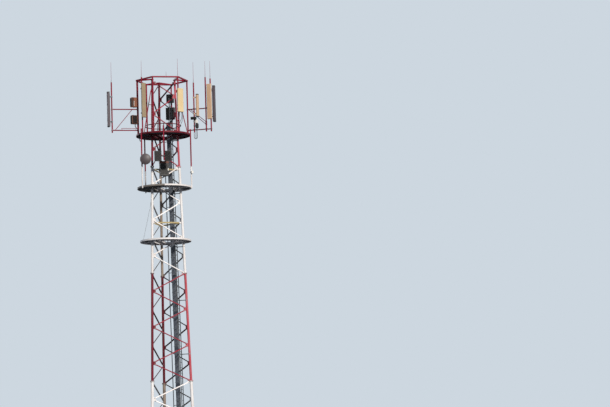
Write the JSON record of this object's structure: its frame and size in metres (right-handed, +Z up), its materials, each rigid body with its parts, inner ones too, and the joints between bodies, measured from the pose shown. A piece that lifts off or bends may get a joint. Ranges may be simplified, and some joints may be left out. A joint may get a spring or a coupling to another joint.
{
  "type": "cell tower",
  "caption": "Three-legged steel lattice tower in red and white bands, with ring platforms, a head frame on outriggers, panel aerials, radio units and a dish.",
  "frame": {"origin": "middle of the underside of the front left leg's base plate, at ground level", "axes": "+Z up the tower, +X from the front left leg to the front right leg, +Y to the back leg"},
  "size_m": [6.0164, 3.5786, 30],
  "materials": {
    "red_paint": "satin",
    "white_paint": "satin",
    "galvanised": "matt zinc",
    "dark_steel": "weathered zinc",
    "cream_radome": "matt",
    "tan_radome": "matt",
    "dark_radio": "matt",
    "grey_dish": "matt",
    "cable_jacket": "matt"
  },
  "bodies": {
    "root": {"base_plates": "galvanised", "legs_band_1": "red_paint", "legs_band_2": "white_paint", "legs_band_3": "red_paint", "legs_band_4": "white_paint", "legs_band_5": "red_paint", "bracing_band_1": "red_paint", "bracing_band_2": "white_paint", "bracing_band_3": "red_paint", "bracing_band_4": "white_paint", "bracing_band_5": "red_paint", "girths": "white_paint", "climbing_ladder": "dark_steel", "feeder_tray": "dark_steel", "feeder_cables": "cable_jacket", "platform_lower": "white_paint", "platform_middle": "white_paint", "platform_head": "red_paint", "deck_lower": "dark_steel", "deck_middle": "dark_steel", "deck_head": "dark_steel", "crown_ring": "red_paint", "crown_posts": "red_paint", "equipment_hoop": "red_paint", "platform_hangers": "red_paint", "outer_pipes": "red_paint", "deck_stay": "galvanised", "left_outrigger": "red_paint", "right_outrigger": "red_paint", "aerial_pipes": "red_paint", "lightning_whips": "dark_steel", "panel_left": "tan_radome", "panel_front_left": "tan_radome", "panel_front_right": "cream_radome", "panel_right_inner": "cream_radome", "panel_right_middle": "tan_radome", "panel_right_outer": "tan_radome", "radios_left": "dark_radio", "radios_back": "dark_radio", "radios_right": "dark_radio", "radios_front": "dark_radio", "junction_boxes": "cream_radome", "jumper_leads": "cable_jacket", "equipment_box": "dark_radio", "microwave_dish": "grey_dish"}
  },
  "joints": []
}
